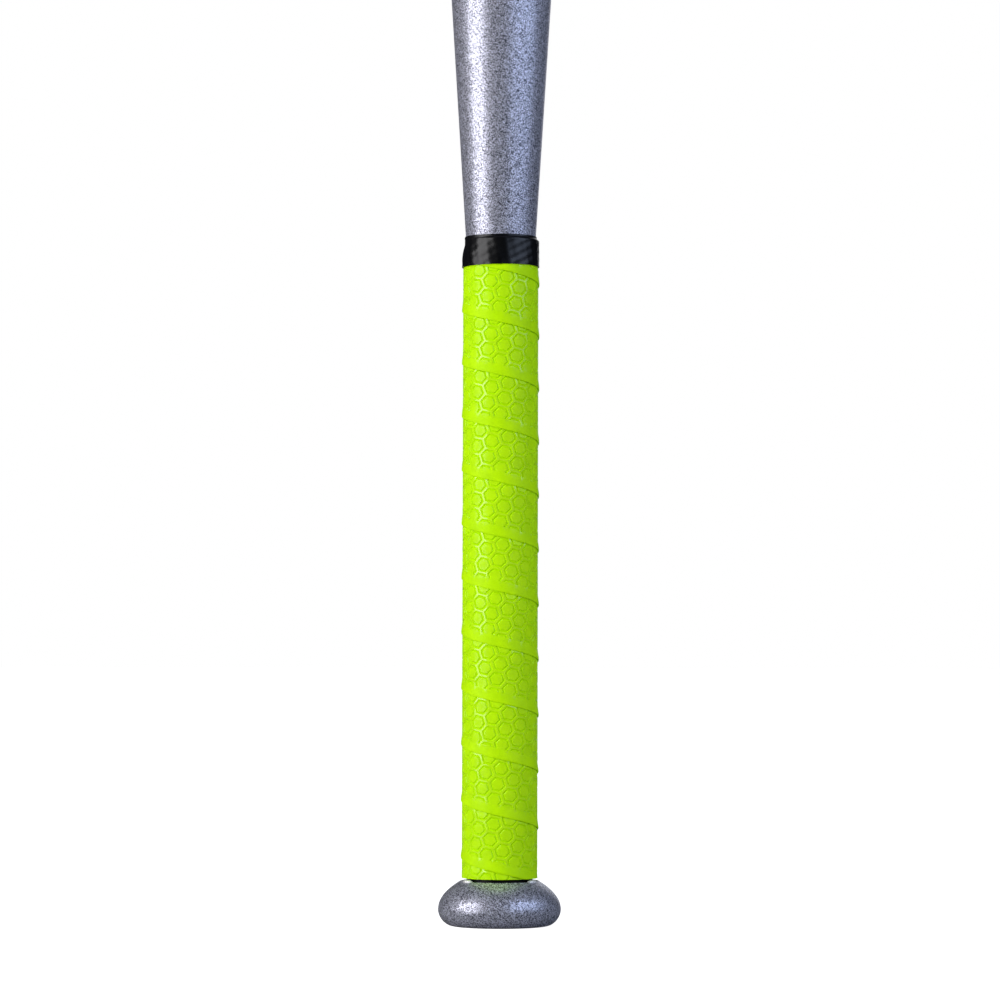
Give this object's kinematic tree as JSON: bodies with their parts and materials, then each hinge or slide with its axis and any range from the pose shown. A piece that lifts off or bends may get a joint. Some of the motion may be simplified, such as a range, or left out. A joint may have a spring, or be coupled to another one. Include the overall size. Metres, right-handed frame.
{
  "type": "baseball bat",
  "caption": "One-piece aluminium baseball bat with a tapered barrel, snap-in end cap, welded mushroom knob and a spirally wrapped embossed grip finished with vinyl tape.",
  "frame": {"origin": "centre of the knob's flat base, the lowest point of the bat standing upright", "axes": "+Z along the bat's axis, from the knob to the barrel's end cap; +X and +Y across it"},
  "size_m": [0.057, 0.057, 0.813],
  "materials": {
    "silver_paint": "silver-grey flake paint over aluminium",
    "bare_weld": "bare weld metal",
    "black_moulding": "moulded, satin",
    "grip_polyurethane": "tacky, embossed with hexagons",
    "adhesive": "cured adhesive",
    "black_vinyl": "glossy vinyl tape",
    "foam": "closed-cell foam",
    "damper_rubber": "soft rubber"
  },
  "bodies": {
    "root": {"bat_shell": "silver_paint", "knob": "silver_paint", "knob_tack_weld_1": "bare_weld", "knob_tack_weld_2": "bare_weld", "knob_tack_weld_3": "bare_weld", "knob_root_weld": "bare_weld", "knob_plug": "black_moulding", "handle_damper": "damper_rubber", "end_cap": "black_moulding", "end_cap_adhesive": "adhesive", "barrel_foam": "foam", "grip_tape": "grip_polyurethane", "grip_adhesive_strip": "adhesive", "finishing_tape": "black_vinyl"}
  },
  "joints": []
}
